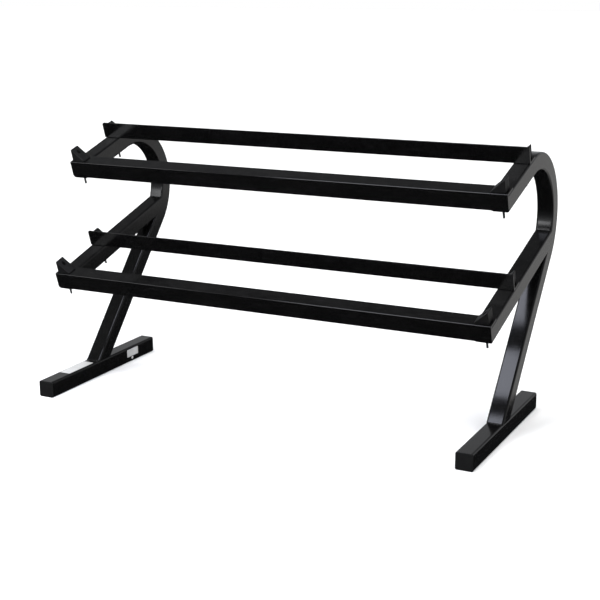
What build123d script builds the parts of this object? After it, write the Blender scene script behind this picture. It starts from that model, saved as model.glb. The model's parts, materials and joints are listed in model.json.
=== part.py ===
"""Two-tier dumbbell rack: two welded side frames joined by four bolted angle rails.

Millimetres. +X runs along the rack, +Y from front to rear, +Z up. The origin is on the floor, under
the middle of the rack. Seen from the front, the left side frame is at -X and the right one at +X.
"""

from build123d import *
from math import cos, radians, sin
import os

# ---- Driving dimensions ----------------------------------------------------------------------
RACK_LENGTH = 1680.0        # over the outer faces of the side frames, and of the rails

TUBE = 60.0                 # square tube of the feet, uprights and arms
TUBE_WALL = 3.0
TUBE_CORNER = 7.0           # outside corner radius of the tube

FOOT_LENGTH = 665.0         # over its end caps
CAP_FLANGE = 3.0            # thickness of an end cap outside the tube
CAP_PLUG_DEPTH = 16.0       # how far a cap reaches into the tube
CAP_PLUG_WALL = 2.5
CAP_PLUG_CORNER = 4.0
CAP_CLEARANCE = 0.2
CAP_EDGE = 1.5              # rounding of a cap's outer edge

POST_SETBACK = 290.0        # foot's front end to the upright's front face, at the foot's top
POST_LEAN = 41.0            # degrees back from vertical
POST_STRAIGHT = 672.0       # front face of the straight stretch, above the foot
BEND_RADIUS = 208.0         # centre line of the bend
ARM_SLOPE = 17.0            # degrees, both arms fall towards the front
UPPER_ARM_STRAIGHT = 280.0

LOWER_ARM_SETBACK = 136.0   # foot's front end to the lower arm's front top edge
LOWER_ARM_HEIGHT = 433.0    # floor to the lower arm's front top edge
LOWER_ARM_REACH = 665.0     # along its top, to a point inside the upright, before it is coped

ANGLE = 60.0                # leg of the equal angle, over its outer faces
ANGLE_THICKNESS = 5.0
ANGLE_HEEL = 2.5            # outside corner radius
ANGLE_ROOT = 2.0            # inside corner radius
ANGLE_TOE = 1.0             # rounding along the free edges of the legs
ANGLE_END_CORNER = 8.0      # rounding of both legs' free corners at the rail's ends
RAIL_PITCH = 236.0          # front face of a tier's front rail to front face of its rear rail

STOP_INSET = 9.0            # rack's end to the end stop's outer face
STOP_SETBACK = 6.0          # rail's front face to the end stop
STOP_WIDTH = 44.0           # along the arm
STOP_LENGTH = 50.0          # along the rail
STOP_HEIGHT = 47.0          # at the outer face
STOP_TOE = 3.0              # height left at the low end
STOP_TOE_CORNER = 6.0       # rounding of the low end's two upright corners
STOP_OUTER_CORNER = 3.0     # rounding of the outer face's two upright corners
STOP_EDGE = 1.5             # rounding round the sloping face
STOP_BASE_EDGE = 1.0        # chamfer round the base, clear of the angle's inside corner
STOP_SEAT = 12.0            # floor of the counterbore, above the rail
COUNTERBORE_RADIUS = 7.2

BOLT_INSET = 27.0           # rack's end to the bolt's axis
BOLT_RADIUS = 4.0           # M8
BOLT_LENGTH = 110.0         # under the head
BOLT_HEAD_RADIUS = 6.5
BOLT_HEAD_HEIGHT = 8.0
BOLT_HEAD_EDGE = 0.8
BOLT_SOCKET = 6.0           # across the flats of the hexagon socket
BOLT_SOCKET_DEPTH = 4.0
BOLT_END_CHAMFER = 0.8
BOLT_HOLE_RADIUS = 4.5
WASHER_RADIUS = 8.0
WASHER_THICKNESS = 1.6
NUT_ACROSS_FLATS = 13.0
NUT_HEX_HEIGHT = 5.5
NUT_COLLAR_HEIGHT = 2.5     # round collar that holds the nut's locking ring
NUT_COLLAR_RADIUS = 5.9
NUT_COLLAR_EDGE = 0.8
NUT_CHAMFER = 0.7
NUT_CLEARANCE = 0.05

LABEL_THICKNESS = 0.4
TOP_LABEL_LENGTH = 150.0    # on top of the left foot, in front of the upright
TOP_LABEL_WIDTH = 44.0
TOP_LABEL_CENTRE = 190.0    # foot's front end to the label's middle
SIDE_LABEL_LENGTH = 75.0    # on the inner side of the left foot, behind the upright
SIDE_LABEL_HEIGHT = 30.0
SIDE_LABEL_CENTRE = 516.0
SIDE_LABEL_LEVEL = 37.0     # floor to the label's middle
ROUND_LABEL_RADIUS = 6.0    # small round label below the side label
ROUND_LABEL_CENTRE = 513.0
ROUND_LABEL_LEVEL = 14.5
LABEL_CORNER = 2.0

# ---- Derived places --------------------------------------------------------------------------
BEND_INNER = BEND_RADIUS - TUBE / 2
BEND_OUTER = BEND_RADIUS + TUBE / 2
BEND_CENTRE_SETBACK = (                 # foot's front end to the bend's centre
    POST_SETBACK + POST_STRAIGHT * sin(radians(POST_LEAN)) - BEND_INNER * cos(radians(POST_LEAN))
)
RACK_DEPTH = BEND_CENTRE_SETBACK + BEND_OUTER
FRONT = -RACK_DEPTH / 2                 # Y of the feet's front ends
FRAME_X = (RACK_LENGTH - TUBE) / 2      # X of a side frame's middle plane
BOLT_SETBACK = STOP_SETBACK + STOP_WIDTH / 2    # rail's front face to the bolt's axis

UP_POST = Vector(0, sin(radians(POST_LEAN)), cos(radians(POST_LEAN)))
BACK_OF_POST = Vector(0, cos(radians(POST_LEAN)), -sin(radians(POST_LEAN)))
UP_ARM = Vector(0, cos(radians(ARM_SLOPE)), sin(radians(ARM_SLOPE)))
OFF_ARM = Vector(0, -sin(radians(ARM_SLOPE)), cos(radians(ARM_SLOPE)))

POST_FOOT = Vector(0, FRONT + POST_SETBACK, TUBE) + BACK_OF_POST * (TUBE / 2)
BEND_CENTRE = POST_FOOT + UP_POST * POST_STRAIGHT - BACK_OF_POST * BEND_RADIUS
UPPER_DECK = BEND_CENTRE + OFF_ARM * BEND_OUTER - UP_ARM * UPPER_ARM_STRAIGHT
LOWER_DECK = Vector(0, FRONT + LOWER_ARM_SETBACK, LOWER_ARM_HEIGHT)

DECKS = {"upper": UPPER_DECK, "lower": LOWER_DECK}      # front top edge of each tier's arms
SIDES = {"left": -1, "right": 1}
RAIL_FACES = {"front": -ANGLE_THICKNESS, "rear": RAIL_PITCH - ANGLE_THICKNESS}  # along the arm

os.makedirs("parts", exist_ok=True)


def finish(piece, name):
    """Label a finished piece and write it as its own STEP file."""
    piece.label = name
    export_step(piece, f"parts/{name}.step")


def side_view(origin, x=0.0):
    """Plane seen from +X: local X runs back and up along the arms, local Y off their top faces."""
    return Plane(origin=(x, origin.Y, origin.Z), x_dir=UP_ARM, z_dir=(1, 0, 0))


def deck(tier, above=0.0):
    """Plane on a tier's arms: local X along the rack, local Y back along the arm, from its front end."""
    place = DECKS[tier] + OFF_ARM * above
    return Plane(origin=place, x_dir=(1, 0, 0), z_dir=OFF_ARM)


def deck_front(tier, along):
    """Plane across a tier's arms, seen from the front: local X along the rack, local Y off the deck."""
    place = DECKS[tier] + UP_ARM * along
    return Plane(origin=place, x_dir=(1, 0, 0), z_dir=-UP_ARM)


def bolt_places(row, sides=(-1, 1)):
    """Bolt axes of one rail, in its deck plane."""
    return [(side * (RACK_LENGTH / 2 - BOLT_INSET), RAIL_FACES[row] + BOLT_SETBACK) for side in sides]


def tube_section(hollow=True):
    """Draws the square tube's section in the sketch that is open."""
    RectangleRounded(TUBE, TUBE, TUBE_CORNER)
    if hollow:
        bore = TUBE - 2 * TUBE_WALL
        RectangleRounded(bore, bore, TUBE_CORNER - TUBE_WALL, mode=Mode.SUBTRACT)


# ---- Feet and their end caps -----------------------------------------------------------------
for side, sign in SIDES.items():
    front_centre = (sign * FRAME_X, FRONT + CAP_FLANGE, TUBE / 2)
    foot_front = Plane(origin=front_centre, x_dir=(1, 0, 0), z_dir=(0, -1, 0))
    with BuildPart() as foot:
        with BuildSketch(foot_front):
            tube_section()
        extrude(amount=-(FOOT_LENGTH - 2 * CAP_FLANGE))
    finish(foot.part, f"{side}_foot")

    for end in ("front", "rear"):
        if end == "front":
            mouth = foot_front
        else:
            mouth_y = FRONT + FOOT_LENGTH - CAP_FLANGE
            mouth = Plane(origin=(sign * FRAME_X, mouth_y, TUBE / 2), x_dir=(1, 0, 0), z_dir=(0, 1, 0))
        plug = TUBE - 2 * (TUBE_WALL + CAP_CLEARANCE)
        plug_bore = plug - 2 * CAP_PLUG_WALL
        with BuildPart() as foot_cap:
            with BuildSketch(mouth):
                tube_section(hollow=False)
            extrude(amount=CAP_FLANGE)
            outward = Axis(mouth.origin, mouth.z_dir)
            fillet(foot_cap.faces().sort_by(outward)[-1].edges(), CAP_EDGE)
            with BuildSketch(mouth):
                RectangleRounded(plug, plug, CAP_PLUG_CORNER)
                RectangleRounded(plug_bore, plug_bore, CAP_PLUG_CORNER, mode=Mode.SUBTRACT)
            extrude(amount=-CAP_PLUG_DEPTH)
        finish(foot_cap.part, f"{side}_foot_{end}_cap")


def front_edge_relief(tier):
    """Bar across the arms' front top edges, where the inside corner of the front rail beds on them."""
    with BuildPart() as bar:
        with BuildSketch(side_view(DECKS[tier], -RACK_LENGTH / 2)):
            with BuildLine():
                Polyline((0, 0), (ANGLE_ROOT, 0), (0, -ANGLE_ROOT), close=True)
            make_face()
        extrude(amount=RACK_LENGTH)
    return bar.part


# ---- Uprights: post, bend and upper arm in one tube ------------------------------------------
def upright_solid(x, hollow):
    """The bent tube on the line X = x, cut level on the foot's top."""
    with BuildPart() as tube:
        with BuildLine(Plane.YZ.offset(x)) as centre_line:
            start = POST_FOOT - UP_POST * TUBE
            post = PolarLine((start.Y, start.Z), POST_STRAIGHT + TUBE, 90 - POST_LEAN)
            bend = JernArc(post @ 1, post % 1, BEND_RADIUS, 90 + POST_LEAN + ARM_SLOPE)
            Line(bend @ 1, bend @ 1 + (bend % 1) * UPPER_ARM_STRAIGHT)
        with BuildSketch(Plane(origin=post @ 0, x_dir=(1, 0, 0), z_dir=post % 0)):
            tube_section(hollow)
        sweep(path=centre_line.line)
        split(bisect_by=Plane.XY.offset(TUBE), keep=Keep.TOP)
    return tube.part


for side, sign in SIDES.items():
    with BuildPart() as upright:
        add(upright_solid(sign * FRAME_X, hollow=True))
        add(front_edge_relief("upper"), mode=Mode.SUBTRACT)
        with BuildSketch(deck("upper", above=TUBE)):
            with Locations(*bolt_places("front", [sign]), *bolt_places("rear", [sign])):
                Circle(BOLT_HOLE_RADIUS)
        extrude(amount=-3 * TUBE, mode=Mode.SUBTRACT)
    finish(upright.part, f"{side}_upright")

# ---- Lower arms, coped to the uprights' front faces ------------------------------------------
for side, sign in SIDES.items():
    with BuildPart() as lower_arm:
        arm_front = Plane(
            origin=LOWER_DECK + Vector(sign * FRAME_X, 0, 0) - OFF_ARM * (TUBE / 2),
            x_dir=(1, 0, 0),
            z_dir=-UP_ARM,
        )
        with BuildSketch(arm_front):
            tube_section()
        extrude(amount=-LOWER_ARM_REACH)
        add(upright_solid(sign * FRAME_X, hollow=False), mode=Mode.SUBTRACT)
        add(front_edge_relief("lower"), mode=Mode.SUBTRACT)
        with BuildSketch(deck("lower", above=TUBE)):
            with Locations(*bolt_places("front", [sign]), *bolt_places("rear", [sign])):
                Circle(BOLT_HOLE_RADIUS)
        extrude(amount=-3 * TUBE, mode=Mode.SUBTRACT)
    finish(lower_arm.part, f"{side}_lower_arm")


# ---- Rails -----------------------------------------------------------------------------------
def heel_height(row):
    """Level of an angle's outer corner above the deck."""
    return ANGLE_THICKNESS if row == "front" else 0.0


def rail_outline(row):
    """Corners of the angle, from its heel round to its toes, seen from +X in the arm's directions."""
    face = RAIL_FACES[row]
    back = face + ANGLE_THICKNESS
    flange_end = face + ANGLE
    top = ANGLE_THICKNESS
    if row == "front":      # flange on the arms, second leg hanging in front of their ends
        toe = heel_height(row) - ANGLE
        return [(face, top), (flange_end, top), (flange_end, 0), (back, 0), (back, toe), (face, toe)]
    return [(face, 0), (flange_end, 0), (flange_end, top), (back, top), (back, ANGLE), (face, ANGLE)]


for tier in DECKS:
    for row in RAIL_FACES:
        with BuildPart() as rail:
            with BuildSketch(side_view(DECKS[tier], -RACK_LENGTH / 2)):
                with BuildLine():
                    corner_radii = [ANGLE_HEEL, ANGLE_TOE, ANGLE_TOE, ANGLE_ROOT, ANGLE_TOE, ANGLE_TOE]
                    FilletPolyline(*rail_outline(row), radius=corner_radii, close=True)
                make_face()
            extrude(amount=RACK_LENGTH)
            with BuildSketch(deck_front(tier, RAIL_FACES[row])):
                with Locations((0, heel_height(row))):
                    RectangleRounded(RACK_LENGTH, 2 * ANGLE, ANGLE_END_CORNER)
            extrude(amount=ANGLE, both=True, mode=Mode.INTERSECT)
            with BuildSketch(deck(tier)):
                with Locations((0, RAIL_FACES[row])):
                    RectangleRounded(RACK_LENGTH, 2 * ANGLE, ANGLE_END_CORNER)
            extrude(amount=ANGLE, both=True, mode=Mode.INTERSECT)
            with BuildSketch(deck(tier)):
                with Locations(*bolt_places(row)):
                    Circle(BOLT_HOLE_RADIUS)
            extrude(amount=2 * ANGLE_THICKNESS, mode=Mode.SUBTRACT)
        finish(rail.part, f"{tier}_{row}_rail")

# ---- End stops: moulded wedges, each with its bolt's head sunk in it ---------------------------
with BuildPart() as stop:       # its bolt's axis is Z, its base is at Z = 0, its outer face at +X
    outer = BOLT_INSET - STOP_INSET
    low_end = outer - STOP_LENGTH
    with BuildSketch(Plane.XZ.offset(-STOP_WIDTH / 2)):
        with BuildLine():
            Polyline((low_end, 0), (outer, 0), (outer, STOP_HEIGHT), (low_end, STOP_TOE), close=True)
        make_face()
    extrude(amount=STOP_WIDTH)
    upright_edges = stop.edges().filter_by(Axis.Z).sort_by(Axis.X)
    fillet(upright_edges[:2], STOP_TOE_CORNER)
    fillet(upright_edges[2:], STOP_OUTER_CORNER)
    sloping_face = stop.faces().sort_by(SortBy.AREA)[-1]
    fillet(sloping_face.edges(), STOP_EDGE)
    chamfer(stop.faces().sort_by(Axis.Z)[0].edges(), STOP_BASE_EDGE)
    with BuildSketch(Plane.XY.offset(STOP_SEAT)):
        Circle(COUNTERBORE_RADIUS)
    extrude(amount=STOP_HEIGHT, mode=Mode.SUBTRACT)
    with BuildSketch(Plane.XY):
        Circle(BOLT_HOLE_RADIUS)
    extrude(amount=STOP_SEAT, mode=Mode.SUBTRACT)

for tier in DECKS:
    for row in RAIL_FACES:
        for side, sign in SIDES.items():
            bolt_x, bolt_along = bolt_places(row, [sign])[0]
            base = deck(tier, above=ANGLE_THICKNESS).from_local_coords((bolt_x, bolt_along, 0))
            with BuildPart(Plane(origin=base, x_dir=(sign, 0, 0), z_dir=OFF_ARM)) as end_stop:
                add(stop.part)
            finish(end_stop.part, f"{tier}_{row}_{side}_stop")

# ---- Bolts, washers and lock nuts, one pair for each rail --------------------------------------
with BuildPart() as bolt:       # its axis is Z, and the head's underside is at Z = 0
    with BuildSketch(Plane.XY):
        Circle(BOLT_HEAD_RADIUS)
    extrude(amount=BOLT_HEAD_HEIGHT)
    fillet(bolt.faces().sort_by(Axis.Z)[-1].edges(), BOLT_HEAD_EDGE)
    with BuildSketch(Plane.XY.offset(BOLT_HEAD_HEIGHT)):
        RegularPolygon(BOLT_SOCKET / 2, 6, major_radius=False)
    extrude(amount=-BOLT_SOCKET_DEPTH, mode=Mode.SUBTRACT)
    with BuildSketch(Plane.XY):
        Circle(BOLT_RADIUS)
    extrude(amount=-BOLT_LENGTH)
    chamfer(bolt.faces().sort_by(Axis.Z)[0].edges(), BOLT_END_CHAMFER)

with BuildPart() as washer:     # below Z = 0
    with BuildSketch(Plane.XY):
        Circle(WASHER_RADIUS)
        Circle(BOLT_HOLE_RADIUS, mode=Mode.SUBTRACT)
    extrude(amount=-WASHER_THICKNESS)

with BuildPart() as nut:        # below Z = 0, with the locking collar at its lower end
    with BuildSketch(Plane.XY):
        RegularPolygon(NUT_ACROSS_FLATS / 2, 6, major_radius=False)
    extrude(amount=-NUT_HEX_HEIGHT)
    corner = NUT_ACROSS_FLATS / 2 / cos(radians(30))
    with BuildSketch(Plane.XZ):
        with BuildLine():
            shoulder = corner - 2 * NUT_CHAMFER
            Polyline(
                (0, 0), (shoulder, 0), (corner, -NUT_CHAMFER), (corner, NUT_CHAMFER - NUT_HEX_HEIGHT),
                (shoulder, -NUT_HEX_HEIGHT), (0, -NUT_HEX_HEIGHT), close=True,
            )
        make_face()
    revolve(axis=Axis.Z, mode=Mode.INTERSECT)
    with BuildSketch(Plane.XY.offset(-NUT_HEX_HEIGHT)):
        Circle(NUT_COLLAR_RADIUS)
    extrude(amount=-NUT_COLLAR_HEIGHT)
    fillet(nut.faces().sort_by(Axis.Z)[0].edges(), NUT_COLLAR_EDGE)
    with BuildSketch(Plane.XY):
        Circle(BOLT_RADIUS + NUT_CLEARANCE)
    extrude(amount=-(NUT_HEX_HEIGHT + NUT_COLLAR_HEIGHT), mode=Mode.SUBTRACT)

FASTENERS = {       # each kind with the level of its own Z = 0 above the deck
    "bolts": (bolt.part, ANGLE_THICKNESS + STOP_SEAT),
    "washers": (washer.part, -TUBE),
    "lock_nuts": (nut.part, -TUBE - WASHER_THICKNESS),
}
for tier in DECKS:
    for row in RAIL_FACES:
        for kind, (master, level) in FASTENERS.items():
            with BuildPart(deck(tier, above=level)) as fasteners:
                with Locations(*bolt_places(row)):
                    add(master)
            finish(fasteners.part, f"{tier}_{row}_{kind}")

# ---- Blank labels on the left foot -------------------------------------------------------------
def foot_side_plane(centre, level):
    """Plane on the left foot's inner side: local X to the rear, local Y up."""
    place = (TUBE / 2 - FRAME_X, FRONT + centre, level)
    return Plane(origin=place, x_dir=(0, 1, 0), z_dir=(1, 0, 0))


with BuildPart() as top_label:
    with BuildSketch(Plane(origin=(-FRAME_X, FRONT + TOP_LABEL_CENTRE, TUBE), x_dir=(0, 1, 0))):
        RectangleRounded(TOP_LABEL_LENGTH, TOP_LABEL_WIDTH, LABEL_CORNER)
    extrude(amount=LABEL_THICKNESS)
finish(top_label.part, "left_foot_top_label")

with BuildPart() as side_label:
    with BuildSketch(foot_side_plane(SIDE_LABEL_CENTRE, SIDE_LABEL_LEVEL)):
        RectangleRounded(SIDE_LABEL_LENGTH, SIDE_LABEL_HEIGHT, LABEL_CORNER)
    extrude(amount=LABEL_THICKNESS)
finish(side_label.part, "left_foot_side_label")

with BuildPart() as round_label:
    with BuildSketch(foot_side_plane(ROUND_LABEL_CENTRE, ROUND_LABEL_LEVEL)):
        Circle(ROUND_LABEL_RADIUS)
    extrude(amount=LABEL_THICKNESS)
finish(round_label.part, "left_foot_round_label")
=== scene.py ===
"""Looks of the two-tier dumbbell rack: finishes, welds, threads, light and camera.

Metres, in the CAD model's frame: +X runs along the rack, +Y from front to rear, +Z up.
"""

import json
import math

import bmesh
import bpy
from mathutils import Matrix, Vector


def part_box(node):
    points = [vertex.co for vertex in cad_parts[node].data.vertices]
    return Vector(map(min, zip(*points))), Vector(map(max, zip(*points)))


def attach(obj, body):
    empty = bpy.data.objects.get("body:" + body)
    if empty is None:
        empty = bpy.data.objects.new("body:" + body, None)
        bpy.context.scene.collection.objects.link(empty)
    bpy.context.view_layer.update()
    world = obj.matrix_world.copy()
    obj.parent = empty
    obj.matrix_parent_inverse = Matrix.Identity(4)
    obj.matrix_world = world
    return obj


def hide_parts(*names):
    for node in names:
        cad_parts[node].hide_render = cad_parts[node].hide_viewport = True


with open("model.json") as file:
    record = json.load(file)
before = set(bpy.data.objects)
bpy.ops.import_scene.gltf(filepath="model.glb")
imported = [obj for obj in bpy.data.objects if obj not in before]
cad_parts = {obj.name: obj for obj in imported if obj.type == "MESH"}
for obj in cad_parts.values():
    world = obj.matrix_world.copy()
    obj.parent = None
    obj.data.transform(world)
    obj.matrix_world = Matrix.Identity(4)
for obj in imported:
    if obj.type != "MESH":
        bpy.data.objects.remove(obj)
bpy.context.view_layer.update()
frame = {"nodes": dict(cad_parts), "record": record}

TIERS = ("upper", "lower")
ROWS = ("front", "rear")
SIDES = {"left": -1, "right": 1}

# ---- Places taken from the design ------------------------------------------------------------
POST_SETBACK = 0.290        # foot's front end to the upright's front face, at the foot's top
POST_LEAN = math.radians(41)
ARM_SLOPE = math.radians(17)
TUBE = 0.060

WASHER_RADIUS = 0.008
WASHER_THICKNESS = 0.0016
BOLT_RADIUS = 0.004
BOLT_LENGTH = 0.110
BOLT_HEAD_ABOVE_WASHER = 0.0778     # underside of the head above the middle of the washer
NUT_HEIGHT = 0.008

UP_POST = Vector((0, math.sin(POST_LEAN), math.cos(POST_LEAN)))
BACK_OF_POST = Vector((0, math.cos(POST_LEAN), -math.sin(POST_LEAN)))
UP_ARM = Vector((0, math.cos(ARM_SLOPE), math.sin(ARM_SLOPE)))
OFF_ARM = Vector((0, -math.sin(ARM_SLOPE), math.cos(ARM_SLOPE)))


def washer_centres(tier, row):
    """Middles of the two washers of a rail, left one first."""
    low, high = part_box(f"{tier}_{row}_washers")
    middle = (low + high) / 2
    return [Vector((sign * (high.x - WASHER_RADIUS), middle.y, middle.z)) for sign in SIDES.values()]


# ---- Node helpers ----------------------------------------------------------------------------
MIX_COLOURS = (6, 7)        # the Mix node's two colour inputs, whose names it shares with other inputs
MIX_RESULT = 2              # its colour output
NOISE_SPAN = (0.3, 0.7)     # where most of a noise's values lie


def mix_colours(tree, factor, first, second):
    """Blend of two colours, each a tuple or a socket; factor picks between them."""
    node = tree.nodes.new("ShaderNodeMix")
    node.data_type = "RGBA"
    tree.links.new(factor, node.inputs["Factor"])
    for index, colour in zip(MIX_COLOURS, (first, second)):
        if isinstance(colour, tuple):
            node.inputs[index].default_value = (*colour, 1)
        else:
            tree.links.new(colour, node.inputs[index])
    return node.outputs[MIX_RESULT]


class Nodes:
    """A material's node tree, with short calls for the nodes that the finishes share."""

    def __init__(self, name):
        self.material = bpy.data.materials.new(name)
        self.material.use_nodes = True
        self.tree = self.material.node_tree
        self.shader = self.tree.nodes["Principled BSDF"]
        self.place = self.tree.nodes.new("ShaderNodeTexCoord").outputs["Object"]

    def link(self, source, target):
        self.tree.links.new(source, target)

    def stretch(self, x, y, z):
        """The object's coordinates, scaled along each axis."""
        node = self.tree.nodes.new("ShaderNodeMapping")
        node.inputs["Scale"].default_value = (x, y, z)
        self.link(self.place, node.inputs["Vector"])
        return node.outputs["Vector"]

    def noise(self, scale, detail=2.0, roughness=0.5, vector=None):
        node = self.tree.nodes.new("ShaderNodeTexNoise")
        node.inputs["Scale"].default_value = scale
        node.inputs["Detail"].default_value = detail
        node.inputs["Roughness"].default_value = roughness
        self.link(vector or self.place, node.inputs["Vector"])
        return node.outputs["Fac"]

    def cells(self, scale):
        node = self.tree.nodes.new("ShaderNodeTexVoronoi")
        node.inputs["Scale"].default_value = scale
        self.link(self.place, node.inputs["Vector"])
        return node.outputs["Distance"]

    def spread(self, value, span, to):
        """Maps value from the range span to the range to, and stops at its ends."""
        node = self.tree.nodes.new("ShaderNodeMapRange")
        for name, (low, high) in (("From", span), ("To", to)):
            node.inputs[f"{name} Min"].default_value = low
            node.inputs[f"{name} Max"].default_value = high
        self.link(value, node.inputs["Value"])
        return node.outputs["Result"]

    def arithmetic(self, operation, first, second):
        node = self.tree.nodes.new("ShaderNodeMath")
        node.operation = operation
        self.link(first, node.inputs[0])
        self.link(second, node.inputs[1])
        return node.outputs["Value"]

    def sum(self, first, second):
        return self.arithmetic("ADD", first, second)

    def product(self, first, second):
        return self.arithmetic("MULTIPLY", first, second)

    def upward(self):
        """How far the surface faces up, from -1 to 1."""
        geometry = self.tree.nodes.new("ShaderNodeNewGeometry")
        split = self.tree.nodes.new("ShaderNodeSeparateXYZ")
        self.link(geometry.outputs["Normal"], split.inputs["Vector"])
        return split.outputs["Z"]

    def blend(self, factor, first, second):
        return mix_colours(self.tree, factor, first, second)

    def bump(self, height, distance, strength, below=None):
        node = self.tree.nodes.new("ShaderNodeBump")
        node.inputs["Distance"].default_value = distance
        node.inputs["Strength"].default_value = strength
        self.link(height, node.inputs["Height"])
        if below:
            self.link(below, node.inputs["Normal"])
        return node.outputs["Normal"]

    def set(self, **sockets):
        """Sets or links the shader's sockets; an underscore stands for a space."""
        for name, value in sockets.items():
            socket = self.shader.inputs[name.replace("_", " ")]
            if isinstance(value, bpy.types.NodeSocket):
                self.link(value, socket)
            elif isinstance(value, tuple):
                socket.default_value = (*value, 1)
            else:
                socket.default_value = value


# ---- Finishes --------------------------------------------------------------------------------
def powder_coat(name, rubbed):
    """Semi-gloss black powder coat: orange peel, faint dust on top, and rub marks where rubbed is more."""
    thick, thin = (0.0018, 0.0018, 0.0019), (0.0030, 0.0030, 0.0031)
    dust_grey, rubbed_grey = (0.060, 0.059, 0.057), (0.016, 0.016, 0.017)
    nodes = Nodes(name)
    patches = nodes.noise(scale=7, detail=5, roughness=0.6)
    peel = nodes.noise(scale=260, detail=1)
    grain = nodes.noise(scale=2400, detail=2)
    streaks = nodes.noise(scale=60, detail=3, roughness=0.7, vector=nodes.stretch(0.25, 1.6, 1.6))
    specks = nodes.noise(scale=28, detail=6, roughness=0.7)

    shade = nodes.blend(nodes.spread(patches, span=NOISE_SPAN, to=(0, 1)), thick, thin)
    dust = nodes.product(
        nodes.spread(nodes.upward(), span=(0.35, 1.0), to=(0, 0.06)),
        nodes.spread(specks, span=(0.35, 0.75), to=(0, 1)),
    )
    rub = nodes.spread(streaks, span=(0.56, 0.76), to=(0, rubbed))
    nodes.set(Base_Color=nodes.blend(rub, nodes.blend(dust, shade, dust_grey), rubbed_grey))

    roughness = nodes.sum(
        nodes.spread(patches, span=NOISE_SPAN, to=(0.12, 0.18)),
        nodes.spread(streaks, span=(0.5, 0.8), to=(0, 0.06)),
    )
    nodes.set(Roughness=roughness, IOR=1.5)
    grained = nodes.bump(grain, distance=0.00005, strength=0.08)
    nodes.set(Normal=nodes.bump(peel, distance=0.0004, strength=0.06, below=grained))
    return nodes.material


def moulded_rubber():
    """Hard black rubber of the end stops: matt, finely pitted, greyed in random patches by handling, with a
    painted sheen that lightens the faces that look up.
    """
    black, worn = (0.0030, 0.0030, 0.0032), (0.0065, 0.0065, 0.0066)
    sheen_grey = (0.030, 0.030, 0.0295)
    nodes = Nodes("moulded_rubber")
    patches = nodes.noise(scale=45, detail=5, roughness=0.65)
    pits = nodes.cells(scale=1500)
    grain = nodes.noise(scale=3200, detail=2)
    colour = nodes.blend(nodes.spread(patches, span=(0.32, 0.72), to=(0, 1)), black, worn)
    # Painted sheen: faces that look up are greyed as if they caught the light, more where the patches are
    # lighter.
    painted_sheen = nodes.product(nodes.spread(nodes.upward(), span=(0.2, 1.0), to=(0, 0.16)), patches)
    grained = nodes.bump(grain, distance=0.00006, strength=0.3)
    nodes.set(
        Base_Color=nodes.blend(painted_sheen, colour, sheen_grey),
        Roughness=nodes.spread(patches, span=NOISE_SPAN, to=(0.46, 0.62)),
        Normal=nodes.bump(pits, distance=0.00012, strength=0.35, below=grained),
        Specular_IOR_Level=0.3,
    )
    return nodes.material


def moulded_plastic():
    """Black polyethylene of the end caps: leathery mould grain and a soft sheen."""
    black, lighter = (0.0025, 0.0025, 0.0027), (0.0055, 0.0055, 0.0058)
    nodes = Nodes("moulded_plastic")
    grain = nodes.cells(scale=900)
    ripples = nodes.noise(scale=420, detail=3)
    patches = nodes.noise(scale=30, detail=4)
    rippled = nodes.bump(ripples, distance=0.0002, strength=0.25)
    nodes.set(
        Base_Color=nodes.blend(patches, black, lighter),
        Roughness=nodes.spread(patches, span=NOISE_SPAN, to=(0.38, 0.5)),
        Normal=nodes.bump(grain, distance=0.00015, strength=0.4, below=rippled),
        IOR=1.5,
    )
    return nodes.material


def blackened_steel():
    """Black-oxide fasteners: oily dark metal with bright rubbed spots and fine turning marks."""
    oxide, rubbed = (0.035, 0.036, 0.040), (0.13, 0.13, 0.135)
    nodes = Nodes("blackened_steel")
    patches = nodes.noise(scale=330, detail=5, roughness=0.65)
    turning = nodes.noise(scale=900, detail=2, vector=nodes.stretch(1, 1, 4))
    nodes.set(
        Base_Color=nodes.blend(nodes.spread(patches, span=(0.45, 0.75), to=(0, 1)), oxide, rubbed),
        Metallic=0.9,
        Roughness=nodes.spread(patches, span=NOISE_SPAN, to=(0.30, 0.5)),
        Normal=nodes.bump(turning, distance=0.00006, strength=0.3),
    )
    return nodes.material


def nylon():
    """Dark locking ring of the nuts."""
    dark, lighter = (0.020, 0.022, 0.030), (0.034, 0.036, 0.046)
    nodes = Nodes("nylon")
    cloud = nodes.noise(scale=500, detail=3)
    nodes.set(
        Base_Color=nodes.blend(cloud, dark, lighter),
        Roughness=nodes.spread(cloud, span=NOISE_SPAN, to=(0.35, 0.5)),
        Normal=nodes.bump(cloud, distance=0.00005, strength=0.3),
    )
    return nodes.material


def blank_vinyl():
    """Blank white labels: satin film over paper fibres, faintly yellowed and scuffed."""
    dull, bright = (0.47, 0.47, 0.465), (0.56, 0.56, 0.56)
    scuffed = (0.40, 0.40, 0.39)
    nodes = Nodes("blank_vinyl")
    fibres = nodes.noise(scale=1400, detail=4, roughness=0.7, vector=nodes.stretch(1, 0.35, 1))
    clouds = nodes.noise(scale=40, detail=4)
    specks = nodes.noise(scale=150, detail=6, roughness=0.75)
    scuffs = nodes.spread(specks, span=(0.58, 0.72), to=(0, 0.5))
    paper = nodes.blend(nodes.spread(clouds, span=NOISE_SPAN, to=(0, 1)), dull, bright)
    nodes.set(
        Base_Color=nodes.blend(scuffs, paper, scuffed),
        Roughness=nodes.spread(clouds, span=NOISE_SPAN, to=(0.32, 0.48)),
        Normal=nodes.bump(fibres, distance=0.00005, strength=0.35),
    )
    return nodes.material


FINISHES = {
    "frame_paint": powder_coat("frame_powder_coat", rubbed=0.12),
    "rail_paint": powder_coat("rail_powder_coat", rubbed=0.30),
    "stop_moulding": moulded_rubber(),
    "end_cap_plastic": moulded_plastic(),
    "fastener_steel": blackened_steel(),
    "label_white": blank_vinyl(),
}
NYLON = nylon()

for part in frame["record"]["subparts"]:
    node = frame["nodes"][part["node"]]
    node.data.materials.clear()
    node.data.materials.append(FINISHES[part["material_slot"]])


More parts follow.
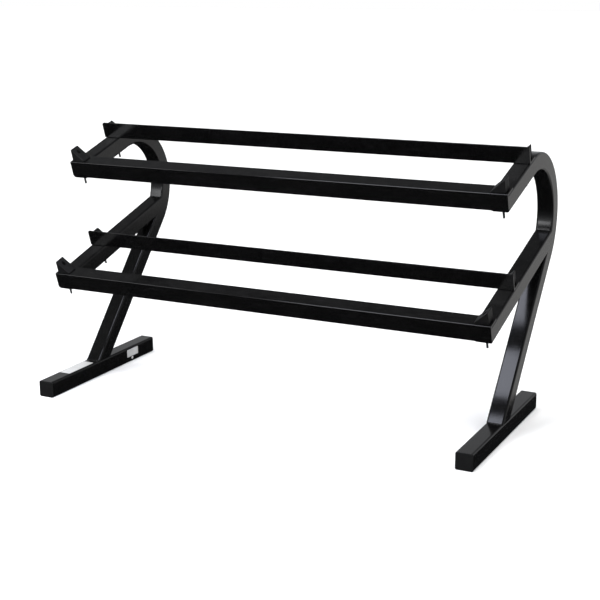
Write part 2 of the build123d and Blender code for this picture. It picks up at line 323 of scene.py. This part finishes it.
# ---- Mesh helpers ----------------------------------------------------------------------------
SHARP_ANGLE = math.radians(40)      # a piece is shaded smooth where its faces turn by less


def add_piece(name, mesh_builder, material, places=(Matrix.Identity(4),)):
    """A new piece that rides on the rack: what mesh_builder draws, once at each place."""
    shape = bmesh.new()
    for place in places:
        fresh = mesh_builder(shape)
        bmesh.ops.transform(shape, matrix=place, verts=fresh)
    bmesh.ops.recalc_face_normals(shape, faces=shape.faces)
    mesh = bpy.data.meshes.new(name)
    shape.to_mesh(mesh)
    shape.free()
    mesh.shade_smooth()
    mesh.set_sharp_from_angle(angle=SHARP_ANGLE)
    mesh.materials.append(material)
    piece = bpy.data.objects.new(name, mesh)
    bpy.context.scene.collection.objects.link(piece)
    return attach(piece, "root")


def skin(shape, rings, closed):
    """Faces between neighbouring rings of vertices; the ends are capped unless the run is closed."""
    pairs = list(zip(rings, rings[1:]))
    if closed:
        pairs.append((rings[-1], rings[0]))
    for near, far in pairs:
        for i in range(len(near)):
            j = (i + 1) % len(near)
            shape.faces.new((near[i], near[j], far[j], far[i]))
    if not closed:
        shape.faces.new(rings[0])
        shape.faces.new(rings[-1])
    return [vertex for ring in rings for vertex in ring]


# ---- Weld beads ------------------------------------------------------------------------------
BEAD_RADIUS = 0.0034
BEAD_STEP = 0.0007          # spacing of the bead's rings
BEAD_PITCH = 0.0028         # length of one ripple
BEAD_RIPPLE = 0.16          # depth of a ripple, as a share of the radius
BEAD_SIDES = 12
BEAD_CORNER = 0.007
BEAD_CORNER_STEPS = 8
BEAD_INSET = 0.0036         # tube's side to the bead's middle, which keeps the bead flush


def loop_points(corners):
    """Evenly spaced points round a closed loop whose corners are rounded."""
    fine = []
    for i, corner in enumerate(corners):
        before = (corners[i - 1] - corner).normalized() * BEAD_CORNER
        after = (corners[(i + 1) % len(corners)] - corner).normalized() * BEAD_CORNER
        for step in range(BEAD_CORNER_STEPS + 1):
            t = step / BEAD_CORNER_STEPS
            fine.append(corner + before * (1 - t) ** 2 + after * t ** 2)
    points = []
    for here, there in zip(fine, fine[1:] + fine[:1]):
        count = max(1, round((there - here).length / BEAD_STEP))
        points += [here.lerp(there, k / count) for k in range(count)]
    return points


def weld_bead(corners, normal):
    """Mesh builder of a rippled bead round a flat loop with that normal."""
    points = loop_points(corners)

    def build(shape):
        rings = []
        travelled = 0.0
        for i, point in enumerate(points):
            onward = points[(i + 1) % len(points)] - points[i - 1]
            travelled += (point - points[i - 1]).length
            outward = onward.normalized().cross(normal)
            ripple = abs(math.sin(math.pi * travelled / BEAD_PITCH))
            radius = BEAD_RADIUS * (1 - BEAD_RIPPLE + BEAD_RIPPLE * ripple)
            ring = []
            for k in range(BEAD_SIDES):
                turn = 2 * math.pi * k / BEAD_SIDES
                spoke = outward * math.cos(turn) + normal * math.sin(turn)
                ring.append(shape.verts.new(point + radius * spoke))
            rings.append(ring)
        return skin(shape, rings, closed=True)

    return build


def flat_loop(x, low, high):
    """Corners of a loop as wide as the tube, about the line X = x, between two points in the Y-Z plane."""
    half = TUBE / 2 - BEAD_INSET
    return [low + Vector((x - half, 0, 0)), low + Vector((x + half, 0, 0)),
            high + Vector((x + half, 0, 0)), high + Vector((x - half, 0, 0))]


def onto_post(point, post_foot):
    """Where the line through point along the arms meets the upright's front face."""
    gap = (post_foot - point).dot(BACK_OF_POST)
    return point + UP_ARM * (gap / UP_ARM.dot(BACK_OF_POST))


def add_weld(name, corners, normal):
    add_piece(name, weld_bead(corners, normal), FINISHES["frame_paint"])


for side in SIDES:
    foot_low, foot_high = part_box(f"{side}_foot_front_cap")
    x = (foot_low.x + foot_high.x) / 2
    post_foot = Vector((0, foot_low.y + POST_SETBACK, foot_high.z))
    post_heel = post_foot + Vector((0, TUBE / math.cos(POST_LEAN), 0))
    add_weld(f"{side}_post_weld", flat_loop(x, post_foot, post_heel), Vector((0, 0, 1)))

    washer = washer_centres("lower", "rear")[0]
    arm_underside = Vector((0, washer.y, washer.z)) + OFF_ARM * (WASHER_THICKNESS / 2)
    low = onto_post(arm_underside, post_foot)
    high = onto_post(arm_underside + OFF_ARM * TUBE, post_foot)
    add_weld(f"{side}_arm_weld", flat_loop(x, low, high), -BACK_OF_POST)

# ---- Bolts with their threads, and the nuts' locking rings -------------------------------------
TURN_STEPS = 24
THREAD_PITCH = 0.00125
THREAD_DEPTH = 0.0006
THREAD_START = 0.070        # head's underside to the thread's upper end
RINGS_PER_PITCH = 5
TIP_CHAMFER = 0.0008
HEAD_RADIUS = 0.0065
HEAD_HEIGHT = 0.008
HEAD_EDGE = 0.0008
SOCKET_HALF = 0.003         # half the hexagon socket's width across flats
SOCKET_DEPTH = 0.004
RING_INNER = 0.00402
RING_OUTER = 0.0050
RING_PROUD = 0.0002
RING_DEPTH = 0.0012


def circle(shape, z, radius_at):
    """Ring of vertices about Z; radius_at gives the radius at each angle."""
    ring = []
    for k in range(TURN_STEPS):
        turn = 2 * math.pi * k / TURN_STEPS
        radius = radius_at(turn)
        ring.append(shape.verts.new((radius * math.cos(turn), radius * math.sin(turn), z)))
    return ring


def hexagon(turn):
    sector = math.radians(60)
    return SOCKET_HALF / math.cos((turn + sector / 2) % sector - sector / 2)


def build_bolt(shape):
    """Socket-head bolt on Z, the head's underside at Z = 0, from its tip to the floor of the socket."""
    rings = [circle(shape, -BOLT_LENGTH, lambda turn: BOLT_RADIUS - TIP_CHAMFER)]
    thread_length = BOLT_LENGTH - THREAD_START - TIP_CHAMFER
    count = round(thread_length / THREAD_PITCH * RINGS_PER_PITCH)
    for i in range(count + 1):
        z = TIP_CHAMFER - BOLT_LENGTH + i * THREAD_PITCH / RINGS_PER_PITCH

        def threaded(turn, z=z):
            phase = (z / THREAD_PITCH - turn / (2 * math.pi)) % 1
            return BOLT_RADIUS - THREAD_DEPTH * abs(2 * phase - 1)

        rings.append(circle(shape, z, threaded))
    rings.append(circle(shape, -THREAD_START + THREAD_PITCH, lambda turn: BOLT_RADIUS))
    rings.append(circle(shape, 0, lambda turn: BOLT_RADIUS))
    rings.append(circle(shape, 0, lambda turn: HEAD_RADIUS))
    rings.append(circle(shape, HEAD_HEIGHT - HEAD_EDGE, lambda turn: HEAD_RADIUS))
    rings.append(circle(shape, HEAD_HEIGHT, lambda turn: HEAD_RADIUS - HEAD_EDGE))
    rings.append(circle(shape, HEAD_HEIGHT, hexagon))
    rings.append(circle(shape, HEAD_HEIGHT - SOCKET_DEPTH, hexagon))
    return skin(shape, rings, closed=False)


def build_locking_ring(shape):
    """Ring in the mouth of the nut; Z = 0 is the nut's lower end."""
    rings = [
        circle(shape, -RING_PROUD, lambda turn: RING_INNER),
        circle(shape, -RING_PROUD, lambda turn: RING_OUTER),
        circle(shape, RING_DEPTH, lambda turn: RING_OUTER),
        circle(shape, RING_DEPTH, lambda turn: RING_INNER),
    ]
    return skin(shape, rings, closed=True)


def off_arm_at(point):
    """Placement whose Z runs off the arms' tops, with its origin at point."""
    across = Vector((1, 0, 0))
    turn = Matrix((across, OFF_ARM.cross(across), OFF_ARM)).transposed()
    return Matrix.Translation(point) @ turn.to_4x4()


for tier in TIERS:
    for row in ROWS:
        centres = washer_centres(tier, row)
        heads = [off_arm_at(centre + OFF_ARM * BOLT_HEAD_ABOVE_WASHER) for centre in centres]
        bolts = add_piece(
            f"{tier}_{row}_threaded_bolts", build_bolt, FINISHES["fastener_steel"], heads
        )
        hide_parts(f"{tier}_{row}_bolts")
        drop = WASHER_THICKNESS / 2 + NUT_HEIGHT
        mouths = [off_arm_at(centre - OFF_ARM * drop) for centre in centres]
        add_piece(f"{tier}_{row}_locking_rings", build_locking_ring, NYLON, mouths)

# ---- Camera ----------------------------------------------------------------------------------
CAMERA_PLACE = (2.0559, -3.9539, 1.5200)
CAMERA_YAW = 27.17          # degrees, from +Y towards -X
CAMERA_PITCH = -14.57       # degrees above the horizon
CAMERA_ROLL = -0.39         # degrees
CAMERA_LENS = 76.59         # mm
CAMERA_SENSOR = 36.0        # mm wide


def add_camera():
    data = bpy.data.cameras.new("camera")
    data.lens = CAMERA_LENS
    data.sensor_width = CAMERA_SENSOR
    camera = bpy.data.objects.new("camera", data)
    bpy.context.scene.collection.objects.link(camera)
    turn = Matrix.Rotation(math.radians(CAMERA_YAW), 4, "Z")
    tilt = Matrix.Rotation(math.radians(90 + CAMERA_PITCH), 4, "X")
    roll = Matrix.Rotation(math.radians(CAMERA_ROLL), 4, "Z")
    camera.matrix_world = Matrix.Translation(CAMERA_PLACE) @ turn @ tilt @ roll
    bpy.context.scene.camera = camera


# ---- Light and floor -------------------------------------------------------------------------
SKY = [             # radiance of the studio against the height of the direction, from down to up
    (0.00, 0.005), (0.25, 0.008), (0.36, 0.03), (0.45, 0.15), (0.54, 0.62), (0.66, 0.38), (0.76, 0.13),
    (0.86, 0.07), (1.00, 0.20),
]
SKY_TINT = (0.98, 1.0, 1.03)

KEY_COLOUR = (0.84, 0.87, 1.0)
GLINT_COLOUR = (0.97, 0.98, 1.0)

OVERHEAD_PLACE = (0.3, -0.8, 5)
OVERHEAD_SPREAD = math.radians(70)
OVERHEAD_STRENGTH = 4.0

GLOW_LOW, GLOW_HIGH = (0.95, 0.2), (12.0, 14.0)     # corners in X and Y
GLOW_LEVEL = 0.001          # just above the floor
GLOW_COLOUR = (1.0, 0.99, 0.98)
GLOW_STRENGTH = 0.50

FLOOR_LOW, FLOOR_HIGH = (-40, -40), (40, 40)
FLOOR_COLOUR = (0.92, 0.92, 0.92)


def add_world():
    """A grey studio seen by reflections: dark below, lightest just above the horizon, white to the camera."""
    world = bpy.data.worlds.new("studio")
    world.use_nodes = True
    tree = world.node_tree
    direction = tree.nodes.new("ShaderNodeTexCoord").outputs["Generated"]
    split = tree.nodes.new("ShaderNodeSeparateXYZ")
    tree.links.new(direction, split.inputs["Vector"])

    height = tree.nodes.new("ShaderNodeMapRange")
    height.inputs["From Min"].default_value = -1
    tree.links.new(split.outputs["Z"], height.inputs["Value"])
    ramp = tree.nodes.new("ShaderNodeValToRGB")
    tree.links.new(height.outputs["Result"], ramp.inputs["Fac"])
    elements = ramp.color_ramp.elements
    elements[0].position, elements[1].position = SKY[0][0], SKY[-1][0]
    for position, _ in SKY[1:-1]:
        elements.new(position)
    for element, (_, grey) in zip(elements, SKY):
        element.color = (*(grey * share for share in SKY_TINT), 1)

    rays = tree.nodes.new("ShaderNodeLightPath")
    shown = mix_colours(tree, rays.outputs["Is Camera Ray"], ramp.outputs["Color"], (1, 1, 1))
    tree.links.new(shown, tree.nodes["Background"].inputs["Color"])
    bpy.context.scene.world = world


def link_lamp(name, data, place, target):
    """A lamp at place that shines at target."""
    lamp = bpy.data.objects.new(name, data)
    bpy.context.scene.collection.objects.link(lamp)
    lamp.location = place
    lamp.rotation_euler = (Vector(target) - Vector(place)).to_track_quat("-Z", "Y").to_euler()
    return lamp


def add_softbox(name, place, target, size, radiance, colour):
    """A rectangular light whose width, the first of its two sizes, lies along X."""
    width, height = size
    data = bpy.data.lights.new(name, "AREA")
    data.shape = "RECTANGLE"
    data.size = width
    data.size_y = height
    data.energy = radiance * math.pi * width * height
    data.color = colour
    link_lamp(name, data, place, target)


def add_overhead():
    """Broad light that whitens the floor and leaves soft contact shadows, with no glints of its own."""
    data = bpy.data.lights.new("overhead", "SUN")
    data.angle = OVERHEAD_SPREAD
    data.energy = OVERHEAD_STRENGTH
    link_lamp("overhead", data, OVERHEAD_PLACE, (0, 0, 0)).visible_glossy = False


def flat_quad(name, low, high, level, material):
    """A level rectangle of the studio, between two corners in X and Y."""
    (x0, y0), (x1, y1) = low, high
    corners = [(x0, y0, level), (x1, y0, level), (x1, y1, level), (x0, y1, level)]
    mesh = bpy.data.meshes.new(name)
    mesh.from_pydata(corners, [], [(0, 1, 2, 3)])
    mesh.materials.append(material)
    quad = bpy.data.objects.new(name, mesh)
    bpy.context.scene.collection.objects.link(quad)
    return quad


def add_glow_panel():
    """Bright stretch of floor behind on the right, which only reflections see."""
    nodes = Nodes("glow_panel")
    nodes.set(Base_Color=(0.0, 0.0, 0.0), Specular_IOR_Level=0.0)
    nodes.set(Emission_Color=GLOW_COLOUR, Emission_Strength=GLOW_STRENGTH)
    panel = flat_quad("glow_panel", GLOW_LOW, GLOW_HIGH, GLOW_LEVEL, nodes.material)
    panel.visible_camera = False
    panel.visible_diffuse = False
    panel.visible_shadow = False


def add_lights():
    add_softbox("key", place=(-0.35, -1.10, 2.65), target=(-0.35, 0.1, 0.3),
                size=(1.5, 1.3), radiance=4.6, colour=KEY_COLOUR)
    add_softbox("right_bend_glint", place=(-0.50, -2.20, 1.60), target=(-0.50, 0.3, 0.7),
                size=(1.2, 1.2), radiance=5.4, colour=GLINT_COLOUR)
    add_softbox("left_bend_glint", place=(-2.15, -2.20, 1.60), target=(-2.15, 0.3, 0.7),
                size=(0.9, 1.2), radiance=4.6, colour=GLINT_COLOUR)
    add_overhead()
    add_glow_panel()


def add_floor():
    nodes = Nodes("floor_white")
    nodes.set(Base_Color=FLOOR_COLOUR, Roughness=0.9, Specular_IOR_Level=0.0)
    floor = flat_quad("floor", FLOOR_LOW, FLOOR_HIGH, 0, nodes.material)
    floor.visible_glossy = False


add_camera()
add_world()
add_lights()
add_floor()
bpy.context.scene.view_settings.view_transform = "Standard"
